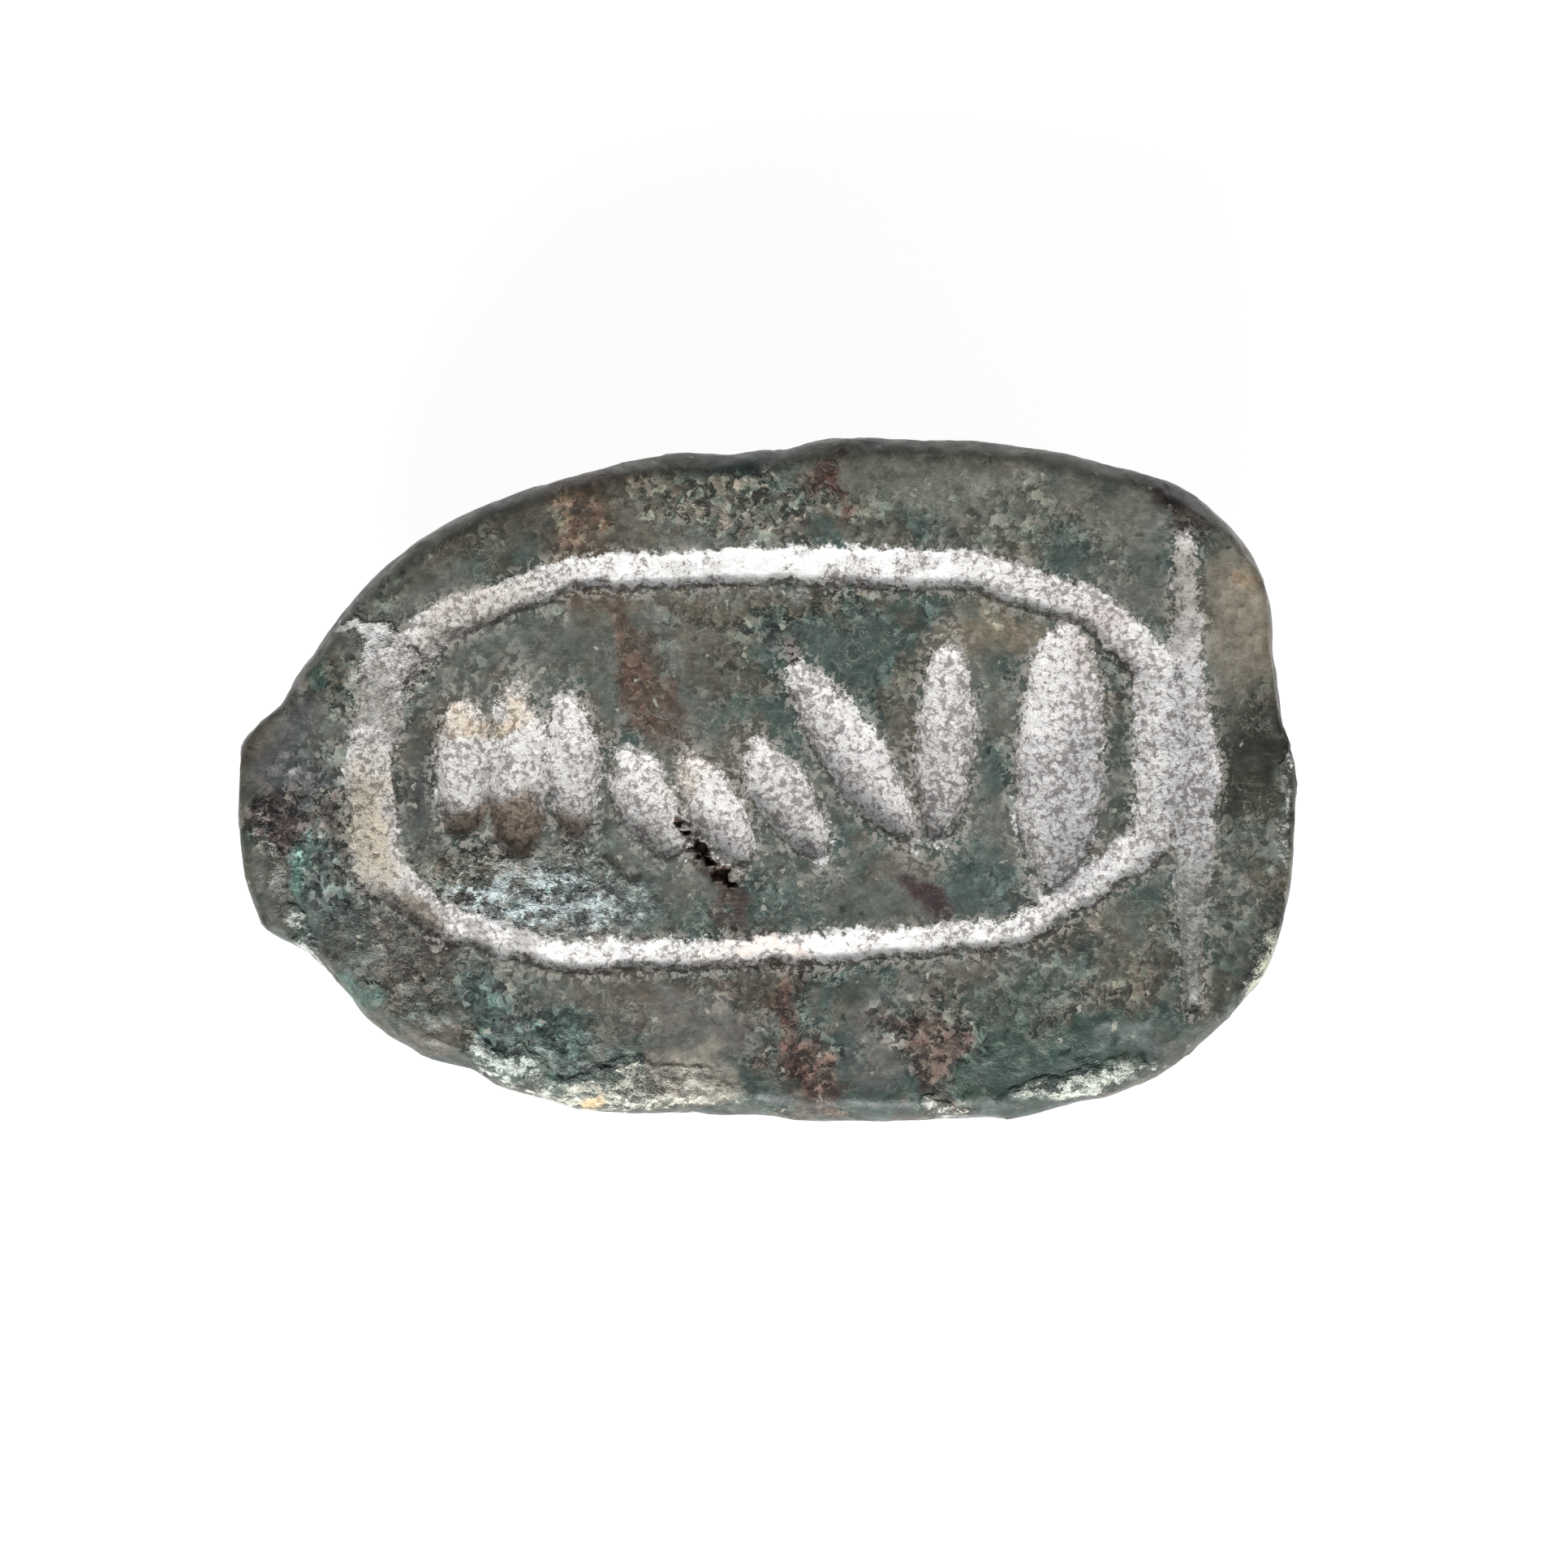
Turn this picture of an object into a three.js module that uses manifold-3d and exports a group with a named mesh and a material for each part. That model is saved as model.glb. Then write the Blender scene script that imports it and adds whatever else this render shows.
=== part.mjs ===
// A scarab amulet carved from one piece of mottled green stone, lying on its back with the flat,
// cut base up. Millimetres and degrees. +X points to the beetle's tail, -X to its head, +Z up.
// The origin is on the surface that the amulet lies on, under the middle of its outline.
//
// The blank is a box whose vertices are moved onto the carved form: a flat base, a rounded rim, a
// recessed band round the side, and the beetle's head and back below. The legs and eyes are joined
// to it, and the wheel-cut strokes, the bevels and the threading hole are then cut out of it.
import * as THREE from "three";
import { mergeVertices } from "three/addons/utils/BufferGeometryUtils.js";
import Module from "manifold-3d";

const wasm = await Module();
wasm.setup();

// ---- Driving dimensions ----
const height = 7.6; // from the flat of the back to the cut base
const tailLength = 7.8; // the outline's four quarters, from the middle of the egg shape
const headLength = 9.75;
const leftHalf = 5.8;
const rightHalf = 5.84;
const eggMiddle = 1.2; // where the egg shape's middle lies along X

const plateThickness = 1.55; // the plate under the beetle, which carries the cut base
const ledgeDepth = 2.9; // from the base to the ledge that the legs lie on
const ledgeInset = 0.3;
const rimDrop = 0.75; // the worn rim of the base
const rimInset = 0.42;
const bandRecess = 0.55; // how far the side is cut in under the plate, round the legs

// ---- Outline ----
const lerp = THREE.MathUtils.lerp;
const radians = THREE.MathUtils.degToRad;
const smooth = (x) => {
  const t = Math.min(1, Math.max(0, x));
  return t * t * (3 - 2 * t);
};

// Each swell or chip runs between two angles, in degrees from the tail, and stands out by `out`.
const swells = [
  { from: 4, to: 20, soft: 11, out: -0.25 }, // chip in the tail
  { from: 26, to: 46, soft: 10, out: 0.13 }, // square shoulder beside it
  { from: 97, to: 113, soft: 10, out: -0.17 }, // flat on the long side
  { from: 138, to: 154, soft: 14, out: 0.14 },
  { from: 160, to: 172, soft: 8, out: -0.08 },
  { from: 174.5, to: 196, soft: 5, out: 0.47 }, // the clypeus, which stands out past the plate
  { from: 199, to: 205, soft: 5, out: -0.14 }, // notch behind it
  { from: 216, to: 221, soft: 5, out: -0.12 }, // chips along the cheek
  { from: 223, to: 237, soft: 8, out: 0.05 },
  { from: 243, to: 262, soft: 10, out: -0.11 },
  { from: 321, to: 334, soft: 8, out: -0.09 },
];

function outlineRadius(angle) {
  const degrees = (THREE.MathUtils.radToDeg(angle) + 360) % 360;
  const c = Math.cos(angle);
  const s = Math.sin(angle);
  const endLength = c > 0 ? tailLength : headLength;
  const half = s > 0 ? leftHalf : rightHalf;
  const power = c > 0 ? 2.95 : s > 0 ? 2.0 : 2.6;
  const egg = (Math.abs(c / endLength) ** power + Math.abs(s / half) ** power) ** (-1 / power);
  return swells.reduce(
    (r, w) =>
      r + w.out * (smooth((degrees - w.from) / w.soft + 0.5) - smooth((degrees - w.to) / w.soft + 0.5)),
    egg,
  );
}

// ---- The beetle's back, as heights over the ledge plane ----
const ledgeZ = height - ledgeDepth;
const back = { x: 1.75, y: 0, halfLength: 6.95, halfWidth: 5.35, power: 2.3, sink: 0.5, flat: 0.12 };
const head = { x: -5.6, y: -0.45, halfLength: 3.3, halfWidth: 2.4, power: 2.4, rise: 1.7 };

const domeShare = (x, y, d) =>
  Math.abs((x - d.x) / d.halfLength) ** d.power + Math.abs((y - d.y) / d.halfWidth) ** d.power;

function backZ(x, y) {
  const onBack = Math.max(0, 1 - domeShare(x, y, back));
  const onHead = Math.max(0, 1 - domeShare(x, y, head));
  const backRise = ledgeZ + back.sink + back.flat;
  const backSurface = ledgeZ + back.sink - backRise * Math.sqrt(onBack);
  const headSurface = ledgeZ - head.rise * Math.sqrt(onHead);
  return Math.max(0, Math.min(ledgeZ, backSurface, headSurface));
}

// ---- The side: rim, edge of the plate, and the band below it that the legs lie in ----
const bandTop = height - plateThickness - 0.2; // under the step at the plate's lower edge
const plateInset = 0.08; // at the plate's lower edge

// The side runs from the flat of the base (0) to the ledge (1), in these shares.
const rimEnd = 0.4;
const plateEnd = 0.6;
const stepEnd = 0.7;

// The band runs out at the head, whose front is one with the plate's.
const headFrom = { cosine: -0.9, soft: 0.06 };

function recessAt(angle) {
  const atHead = smooth((headFrom.cosine - Math.cos(angle)) / headFrom.soft);
  return bandRecess * (1 - atHead);
}

// Inset from the outline, and height, at share t of the side.
function sideAt(t, angle) {
  if (t <= rimEnd) {
    const turn = (Math.PI / 2) * (t / rimEnd);
    return [rimInset * (1 - Math.sin(turn)), height - rimDrop * (1 - Math.cos(turn))];
  }
  if (t <= plateEnd) {
    const share = (t - rimEnd) / (plateEnd - rimEnd);
    return [plateInset * share, height - lerp(rimDrop, plateThickness, share)];
  }
  const share = Math.max(0, (t - stepEnd) / (1 - stepEnd));
  const inset = plateInset + recessAt(angle) + (ledgeInset - plateInset) * share;
  return [inset, lerp(bandTop, ledgeZ, share)];
}

// ---- Blank ----
// The box's square plan becomes a disc, and the disc is stretched to the outline.
const cuts = { long: 36, wide: 24, tall: 10 }; // box segments

function blankGeometry() {
  const box = new THREE.BoxGeometry(2, 2, 2, cuts.long, cuts.wide, cuts.tall);
  const p = box.getAttribute("position");
  for (let i = 0; i < p.count; i++) {
    const [u, v, w] = [p.getX(i), p.getY(i), p.getZ(i)];
    const ex = u * Math.sqrt(1 - (v * v) / 2) * tailLength;
    const ey = v * Math.sqrt(1 - (u * u) / 2) * leftHalf;
    const reach = Math.hypot(ex / tailLength, ey / leftHalf);
    const angle = Math.atan2(ey, ex);
    const r = outlineRadius(angle);
    const [inset, z] = sideAt((1 - w) / 2, angle);
    const x = eggMiddle + (r - inset) * reach * Math.cos(angle);
    const y = (r - inset) * reach * Math.sin(angle);
    p.setXYZ(i, x, y, w === -1 ? backZ(x, y) : z);
  }
  return box;
}

// ---- Solids ----
const mm = (x, y, z) => new THREE.Vector3(x, y, z);

function solid(geometry) {
  const g = new THREE.BufferGeometry();
  g.setAttribute("position", geometry.getAttribute("position"));
  g.setIndex(geometry.index);
  const merged = mergeVertices(g, 1e-4);
  return new wasm.Manifold(
    new wasm.Mesh({
      numProp: 3,
      vertProperties: merged.getAttribute("position").array,
      triVerts: new Uint32Array(merged.index.array),
    }),
  );
}

// ---- Legs and eyes, which stand out of the blank ----
// Each leg is a capsule bent round the side, from its root on the ledge to its tip under the plate.
// The angles are from the tail.
const legs = [
  { root: 118, tip: 156, inset: 1.1, radius: 0.85 }, // fore
  { root: 104, tip: 82, inset: 0.62, radius: 0.6 }, // middle
  { root: 68, tip: 38, inset: 0.65, radius: 0.62 }, // hind
];
const legTaper = 0.7; // the tip's thickness against the root's
const legRootZ = ledgeZ + 0.1;
const legTipZ = bandTop - 0.25;

function legGeometry({ root, tip, inset, radius }, side) {
  const run = Math.abs(radians(tip - root)) * outlineRadius(radians((root + tip) / 2));
  const g = new THREE.CapsuleGeometry(radius, run, 3, 10, 7);
  const p = g.getAttribute("position");
  const handed = side * Math.sign(tip - root); // keeps the capsule's faces pointing out
  for (let i = 0; i < p.count; i++) {
    const share = 0.5 + p.getY(i) / run;
    const thickness = lerp(1, legTaper, share);
    const angle = radians(side * lerp(root, tip, share));
    const r = outlineRadius(angle) - inset + thickness * p.getX(i);
    const z = lerp(legRootZ, legTipZ, share) + handed * thickness * p.getZ(i);
    p.setXYZ(i, eggMiddle + r * Math.cos(angle), r * Math.sin(angle), z);
  }
  return g;
}

const eye = { x: -6.1, apart: 4.3, z: 4.45, radius: 0.75 };

function eyeGeometry(side) {
  const g = new THREE.SphereGeometry(eye.radius, 10, 8);
  return g.translate(eye.x, head.y + (side * eye.apart) / 2, eye.z);
}

// ---- Cutting ----
// A stroke of the cutting wheel on the base: pointed at both ends and deepest in the middle.
function wheelStroke({ x, y, length, width, depth, turn }) {
  const g = new THREE.SphereGeometry(1, 16, 8).rotateX(Math.PI / 2);
  g.scale(length / 2, width / 2, depth);
  return g.rotateZ(radians(turn)).translate(x, y, height);
}

// A scraped line from one point to the next, with round ends and an even width.
function scrapedLine([x1, y1], [x2, y2], width, depth) {
  const run = Math.hypot(x2 - x1, y2 - y1);
  const g = new THREE.CapsuleGeometry(width / 2, run, 2, 8).rotateZ(Math.PI / 2);
  g.scale(1, 1, depth / (width / 2));
  return g.rotateZ(Math.atan2(y2 - y1, x2 - x1)).translate((x1 + x2) / 2, (y1 + y2) / 2, height);
}

// The ring round the strokes: straight scraped lines that meet at blunt corners.
const ring = {
  corners: [
    [6.6, 1.8],
    [5.6, 2.78],
    [3.5, 3.5],
    [0.4, 3.6],
    [-3.3, 3.45],
    [-5.6, 2.6],
    [-6.5, 1.75],
    [-6.75, 0.1],
    [-6.6, -1.6],
    [-5.4, -2.5],
    [-3.5, -3.05],
    [0.1, -2.95],
    [4.2, -2.66],
    [6.5, -1.1],
    [6.65, 0.3],
  ],
  width: 0.54,
  depth: 0.24,
};

function ringCutters() {
  const last = ring.corners.length;
  return ring.corners.map((c, i) => scrapedLine(c, ring.corners[(i + 1) % last], ring.width, ring.depth));
}

// The bar that ties the ring at the tail end.
const tieBar = { from: [7.05, 3.7], to: [7.2, -3.6], width: 0.64, depth: 0.24 };

// A row of plain shallow strokes inside the ring: three upright, four leaning and two tall.
const strokes = [
  { x: -5.17, y: 0.15, length: 2.3, width: 0.95, depth: 0.3, turn: 88 },
  { x: -4.25, y: 0.12, length: 3.0, width: 1.0, depth: 0.36, turn: 91 },
  { x: -3.33, y: 0.2, length: 2.4, width: 0.95, depth: 0.3, turn: 93 },
  { x: -2.05, y: -0.4, length: 2.1, width: 0.95, depth: 0.28, turn: 118 },
  { x: -0.85, y: -0.55, length: 2.0, width: 0.9, depth: 0.26, turn: 120 },
  { x: 0.3, y: -0.35, length: 2.3, width: 0.95, depth: 0.28, turn: 122 },
  { x: 1.45, y: 0.4, length: 3.5, width: 1.05, depth: 0.32, turn: 124 },
  { x: 3.0, y: 0.6, length: 3.3, width: 1.0, depth: 0.32, turn: 88 },
  { x: 4.95, y: 0.3, length: 4.6, width: 1.5, depth: 0.34, turn: 87 },
];

// A groove that follows the back, from a list of plan points through the height function.
function backGroove(planPoint, steps, width) {
  const path = new THREE.CatmullRomCurve3(
    Array.from({ length: steps + 1 }, (_, i) => {
      const [x, y] = planPoint(i / steps);
      return mm(x, y, backZ(x, y));
    }),
  );
  const half = width / 2;
  const section = new THREE.Shape();
  section.moveTo(half, 0).lineTo(0, half).lineTo(-half, 0).lineTo(0, -half).closePath();
  return new THREE.ExtrudeGeometry(section, { steps: steps * 2, extrudePath: path });
}

const grooveWidth = 0.5;
const fineGroove = 0.4;
const thoraxLineX = -1.3; // between the thorax and the wings
const headLineX = -7.3; // between the clypeus and the head

function backCutters() {
  const wingLine = backGroove((t) => [lerp(thoraxLineX, 8.75, t), 0], 12, grooveWidth);
  const thoraxLine = backGroove(
    (t) => [thoraxLineX + 0.5 * (2 * t - 1) ** 2, lerp(-5.3, 5.3, t)],
    14,
    grooveWidth,
  );
  const clypeusLine = backGroove(
    (t) => [headLineX + 0.6 * (2 * t - 1) ** 2, lerp(-2.4, 1.5, t)],
    8,
    fineGroove,
  );
  const shoulders = [-1, 1].map((side) =>
    backGroove((t) => [lerp(-0.7, 0.6, t), side * lerp(3.1, 3.9, t)], 4, fineGroove),
  );
  return [wingLine, thoraxLine, clypeusLine, ...shoulders];
}

// The bevels ground across both ends of the base: big blocks tilted about the bevel's edge.
const bevels = [
  { edgeX: 7.35, tilt: 13 },
  { edgeX: -7.15, tilt: 12 },
];

function bevelCutter({ edgeX, tilt }) {
  const toEnd = Math.sign(edgeX);
  const block = new THREE.BoxGeometry(6, 16, 4).translate(toEnd * 3, 0, 2);
  return block.rotateY(toEnd * radians(tilt)).translate(edgeX, 0, height);
}

const threadingHole = { radius: 0.7, y: -0.2, z: 5.6 }; // bored from head to tail

function holeCutter() {
  const g = new THREE.CylinderGeometry(threadingHole.radius, threadingHole.radius, 24, 12);
  return g.rotateZ(Math.PI / 2).translate(0, threadingHole.y, threadingHole.z);
}

const simplifyWithin = 0.002; // drops slivers and needless points of flat faces

function carved() {
  const cutters = [
    ...bevels.map(bevelCutter),
    ...ringCutters(),
    scrapedLine(tieBar.from, tieBar.to, tieBar.width, tieBar.depth),
    ...strokes.map(wheelStroke),
    ...backCutters(),
    holeCutter(),
  ];
  const parts = [-1, 1].flatMap((side) => [...legs.map((leg) => legGeometry(leg, side)), eyeGeometry(side)]);
  const beetle = parts.reduce((stone, part) => stone.add(solid(part)), solid(blankGeometry()));
  const cut = cutters.reduce((stone, cutter) => stone.subtract(solid(cutter)), beetle);
  return cut.simplify(simplifyWithin);
}

// ---- Assembly ----
function stoneGeometry() {
  const mesh = carved().getMesh();
  const g = new THREE.BufferGeometry();
  g.setAttribute("position", new THREE.BufferAttribute(mesh.vertProperties, 3));
  g.setIndex(new THREE.BufferAttribute(mesh.triVerts, 1));
  g.computeBoundingBox();
  const middle = g.boundingBox.getCenter(mm(0, 0, 0));
  g.translate(-middle.x, -middle.y, 0);
  g.computeVertexNormals();
  return g;
}

const greenStone = new THREE.MeshStandardMaterial({ color: 0x5f665f, roughness: 0.4, metalness: 0 });
const scarab = new THREE.Mesh(stoneGeometry(), greenStone);
scarab.name = "scarab";

const amulet = new THREE.Group();
amulet.add(scarab);

export default amulet;
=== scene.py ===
# A scarab amulet carved from one piece of mottled green stone, lying on its back with its flat,
# cut base up. Sizes are in millimetres, and MM turns them into metres where Blender takes them.
import math

import bmesh
import bpy
import numpy as np
from mathutils import Matrix, Vector, noise


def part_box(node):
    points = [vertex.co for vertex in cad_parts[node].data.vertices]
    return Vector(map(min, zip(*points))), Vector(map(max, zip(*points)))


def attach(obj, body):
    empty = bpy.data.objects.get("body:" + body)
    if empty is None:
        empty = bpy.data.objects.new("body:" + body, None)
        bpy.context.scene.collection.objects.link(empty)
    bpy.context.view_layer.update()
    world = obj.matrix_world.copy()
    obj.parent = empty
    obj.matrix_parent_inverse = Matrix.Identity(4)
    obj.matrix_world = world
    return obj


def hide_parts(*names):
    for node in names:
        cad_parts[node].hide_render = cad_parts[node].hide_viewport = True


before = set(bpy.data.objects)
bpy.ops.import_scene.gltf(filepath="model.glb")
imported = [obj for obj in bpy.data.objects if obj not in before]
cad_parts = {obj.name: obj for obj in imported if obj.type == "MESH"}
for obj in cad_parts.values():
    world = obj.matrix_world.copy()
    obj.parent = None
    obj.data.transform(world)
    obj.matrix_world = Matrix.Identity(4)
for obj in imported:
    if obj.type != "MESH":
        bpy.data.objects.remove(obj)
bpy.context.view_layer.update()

# ---- Camera ----
# It looks straight down on the cut base through a long lens, from over the middle of the stone,
# so that the sides stay hidden.
MM = 0.001
scene = bpy.context.scene
view_width = 26.73 * MM  # what the frame takes in at the height of the base's rim
view_middle = (0.297 * MM, -0.083 * MM)
camera_distance = 110 * MM
rim_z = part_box("scarab")[1].z - 0.7 * MM

camera_data = bpy.data.cameras.new("camera")
camera_data.sensor_width = 36
camera_data.lens = camera_data.sensor_width * camera_distance / view_width
camera_data.clip_start = 10 * MM
camera_data.clip_end = 10
camera = bpy.data.objects.new("camera", camera_data)
camera.location = (*view_middle, rim_z + camera_distance)
scene.collection.objects.link(camera)
scene.camera = camera

# ---- Floor and light ----
# A plain pale table that is nearly white, a broad soft light from the -Y side with a weak one
# to its right, and an even fill from all round.
floor_reach = 400 * MM
floor_mesh = bmesh.new()
bmesh.ops.create_grid(floor_mesh, x_segments=1, y_segments=1, size=floor_reach)
floor_data = bpy.data.meshes.new("floor")
floor_mesh.to_mesh(floor_data)
floor_mesh.free()
floor = bpy.data.objects.new("floor", floor_data)
scene.collection.objects.link(floor)

pale_card = bpy.data.materials.new("pale_card")
pale_card.use_nodes = True
card = pale_card.node_tree.nodes["Principled BSDF"]
card.inputs["Base Color"].default_value = (0.2, 0.2, 0.2, 1)
card.inputs["Roughness"].default_value = 0.9
card.inputs["Specular IOR Level"].default_value = 0.1
card.inputs["Emission Color"].default_value = (1, 1, 1, 1)
card.inputs["Emission Strength"].default_value = 0.94
pale_card.cycles.emission_sampling = "NONE"
floor_data.materials.append(pale_card)


def soft_light(name, place, aim, side, power):
    """A square lamp: its place, aim and side in millimetres, and its power in watts."""
    data = bpy.data.lights.new(name, "AREA")
    data.shape = "SQUARE"
    data.size = side * MM
    data.energy = power
    lamp = bpy.data.objects.new(name, data)
    lamp.location = Vector(place) * MM
    lamp.rotation_euler = (Vector(aim) - Vector(place)).to_track_quat("-Z", "Y").to_euler()
    scene.collection.objects.link(lamp)


soft_light("window", (-50, -270, 235), (0, 0, 5), 150, 1.5)
soft_light("wall", (150, -200, 120), (0, 0, 5), 200, 0.18)

studio = bpy.data.worlds.new("studio")
studio.use_nodes = True
fill = studio.node_tree.nodes["Background"]
fill.inputs["Color"].default_value = (0.93, 0.96, 1, 1)
fill.inputs["Strength"].default_value = 0.2
scene.world = studio
scene.view_settings.view_transform = "Standard"

# ---- The form of the stone ----
# One block of stone ground to an uneven egg shape: a plate with a flat base and a worn, chipped
# rim, a recessed band that the legs lie in, and the beetle's head and back below it.
# +X is the tail and -X the head. The sizes are those of the solid.
height = 7.6
egg_middle = 1.2  # x of the widest place of the egg, and the sizes from there
tail_length = 7.8
head_length = 9.75
left_half = 5.8
right_half = 5.84
rim_drop = 0.75
rim_inset = 0.42
plate_thickness = 1.55
plate_inset = 0.08
band_top = height - plate_thickness - 0.2
band_recess = 0.55
head_end = -0.9  # cosine of the direction where the recess starts to fade out
ledge_z = height - 2.9
ledge_inset = 0.3
tail_bevel_x = 7.35
tail_bevel_slope = math.tan(math.radians(13))
head_bevel_x = -7.15
head_bevel_slope = math.tan(math.radians(12))

# The side runs from the flat of the base, 0, to the ledge, 1, and its parts end at these shares.
rim_end = 0.4
plate_end = 0.6
step_end = 0.7

# Swells and chips of the outline: from, to and softness in degrees from the tail, and reach.
swells = [
    (4, 20, 11, -0.25),
    (26, 46, 10, 0.13),
    (97, 113, 10, -0.17),
    (138, 154, 14, 0.14),
    (160, 172, 8, -0.08),
    (174.5, 196, 5, 0.47),
    (199, 205, 5, -0.14),
    (216, 221, 5, -0.12),
    (223, 237, 8, 0.05),
    (243, 262, 10, -0.11),
    (321, 334, 8, -0.09),
]


def smooth(x):
    """A soft step from 0 to 1."""
    t = min(1, max(0, x))
    return t * t * (3 - 2 * t)


def lerp(a, b, share):
    return a + (b - a) * share


def outline_radius(angle):
    """From the widest place of the egg to its outline: blunt at the tail, drawn out at the head."""
    degrees = math.degrees(angle) % 360
    c, s = math.cos(angle), math.sin(angle)
    end = tail_length if c > 0 else head_length
    half = left_half if s > 0 else right_half
    squareness = 2.95 if c > 0 else 2.0 if s > 0 else 2.6
    radius = (abs(c / end) ** squareness + abs(s / half) ** squareness) ** (-1 / squareness)
    for start, stop, soft, out in swells:
        radius += out * (smooth((degrees - start) / soft + 0.5) - smooth((degrees - stop) / soft + 0.5))
    return radius


def dome(x, y, middle, half_length, half_width, power):
    """1 in the middle of an oval, falling to 0 at its edge."""
    along = abs((x - middle[0]) / half_length) ** power
    across = abs((y - middle[1]) / half_width) ** power
    return max(0, 1 - along - across)


def back_z(x, y):
    """Height of the underside: the domed back, cut off flat where it lies, and the head."""
    sink, flat, head_rise = 0.5, 0.12, 1.7
    on_back = dome(x, y, (1.75, 0), 6.95, 5.35, 2.3)
    on_head = dome(x, y, (-5.6, -0.45), 3.3, 2.4, 2.4)
    back_surface = ledge_z + sink - (ledge_z + sink + flat) * math.sqrt(on_back)
    head_surface = ledge_z - head_rise * math.sqrt(on_head)
    return max(0, min(ledge_z, back_surface, head_surface))


def side_at(share, angle):
    """Inset from the outline, and height, at a share of the side."""
    if share <= rim_end:
        turn = math.pi / 2 * share / rim_end
        return rim_inset * (1 - math.sin(turn)), height - rim_drop * (1 - math.cos(turn))
    if share <= plate_end:
        down = (share - rim_end) / (plate_end - rim_end)
        return plate_inset * down, height - lerp(rim_drop, plate_thickness, down)
    recess = band_recess * (1 - smooth((head_end - math.cos(angle)) / 0.06))
    down = max(0, (share - step_end) / (1 - step_end))
    return plate_inset + recess + (ledge_inset - plate_inset) * down, lerp(band_top, ledge_z, down)


# ---- The cuts in the base ----
# A scraped ring with blunt corners, a scraped tie bar across the tail end, and a row of plain
# strokes of a cutting wheel inside the ring: three upright, four leaning and two tall.
scraped_depth = 0.13
scraped_lean = 0.42
stroke_lean = 0.35
most_reach = 2.4  # no stroke reaches further from its middle
frost_shift = 0.06
edge_width = 0.6  # over which a cut's edge is blurred in what the material reads

# x, y and width at each corner of the ring, and along the bar
ring_corners = [
    (6.6, 1.8, 0.8), (5.6, 2.78, 0.6), (3.5, 3.5, 0.6), (0.4, 3.6, 0.62), (-3.3, 3.45, 0.5),
    (-5.6, 2.6, 0.6), (-6.5, 1.75, 0.7), (-6.75, 0.1, 0.8), (-6.6, -1.6, 0.75), (-5.4, -2.5, 0.5),
    (-3.5, -3.05, 0.42), (0.1, -2.95, 0.46), (4.2, -2.66, 0.44), (6.5, -1.1, 0.62), (6.65, 0.3, 0.85),
]
bar_corners = [(7.05, 3.9, 0.32), (7.08, 2.0, 0.48), (7.25, 0.2, 0.85), (7.15, -2.0, 0.5), (7.2, -3.8, 0.3)]
ring_sides = list(zip(ring_corners, ring_corners[1:] + ring_corners[:1]))
bar_sides = list(zip(bar_corners, bar_corners[1:]))

# x, y, length, width, depth, and turn in degrees
strokes = [
    (-5.17, 0.15, 2.3, 0.95, 0.3, 88),
    (-4.25, 0.12, 3.0, 1.0, 0.36, 91),
    (-3.33, 0.2, 2.4, 0.95, 0.3, 93),
    (-2.05, -0.4, 2.1, 0.95, 0.28, 118),
    (-0.85, -0.55, 2.0, 0.9, 0.26, 120),
    (0.3, -0.35, 2.3, 0.95, 0.28, 122),
    (1.45, 0.4, 3.5, 1.05, 0.32, 124),
    (3.0, 0.6, 3.3, 1.0, 0.32, 88),
    (4.95, 0.3, 4.6, 1.5, 0.34, 87),
]


def along_line(x, y, a, b):
    """The way from the line between two points to this place, and the share along the line."""
    run = Vector(b[:2]) - Vector(a[:2])
    share = min(1, max(0, (Vector((x, y)) - Vector(a[:2])).dot(run) / run.length_squared))
    off = Vector((x, y)) - Vector(a[:2]) - run * share
    return off, share


noise.seed_set(7)  # the noise vectors are otherwise new in each run


def cut_at(x, y):
    """Depth of the cuts, how far inside their edge the place is, and how far inside the frost.

    Every cut leans: it is deepest near its -Y edge and runs out gently towards +Y.
    The frost of a scraped line lies a little towards +Y, on its gentle slope.
    """
    shake = noise.noise_vector(Vector((x * 1.7, y * 1.7, 3))) * 0.07
    shake += noise.noise_vector(Vector((x * 5, y * 5, 3))) * 0.06
    x, y = x + shake.x, y + shake.y
    depth, inside, frosted = 0, -1, -1
    for a, b in ring_sides + bar_sides:
        way, share = along_line(x, y, a, b)
        half = lerp(a[2], b[2], share) / 2
        off = way.length
        inside = max(inside, half - off)
        frosted = max(frosted, half - (way - Vector((0, frost_shift))).length)
        if off < half:
            lean = scraped_lean * abs(way.y) / max(off, 0.001)
            across = math.copysign(off / half, way.y) + lean
            span = 1 + lean if across > 0 else 1 - lean
            depth = max(depth, scraped_depth * (1 - min(1, abs(across) / span) ** 1.3))
    for sx, sy, length, width, deep, turn in strokes:
        dx, dy = x - sx, y - sy
        if abs(dx) > most_reach or abs(dy) > most_reach:
            continue
        c, s = math.cos(math.radians(turn)), math.sin(math.radians(turn))
        reach = math.hypot((dx * c + dy * s) / (length / 2), (dy * c - dx * s) / (width / 2))
        inside = max(inside, (1 - reach) * width / 2)
        frosted = max(frosted, (1 - reach) * width / 2)
        lean = 1 - stroke_lean * dy / math.hypot(length / 2 * s, width / 2 * c)
        depth = max(depth, deep * lean * max(0, 1 - reach * reach) ** 0.65)
    return depth, inside, frosted


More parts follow.
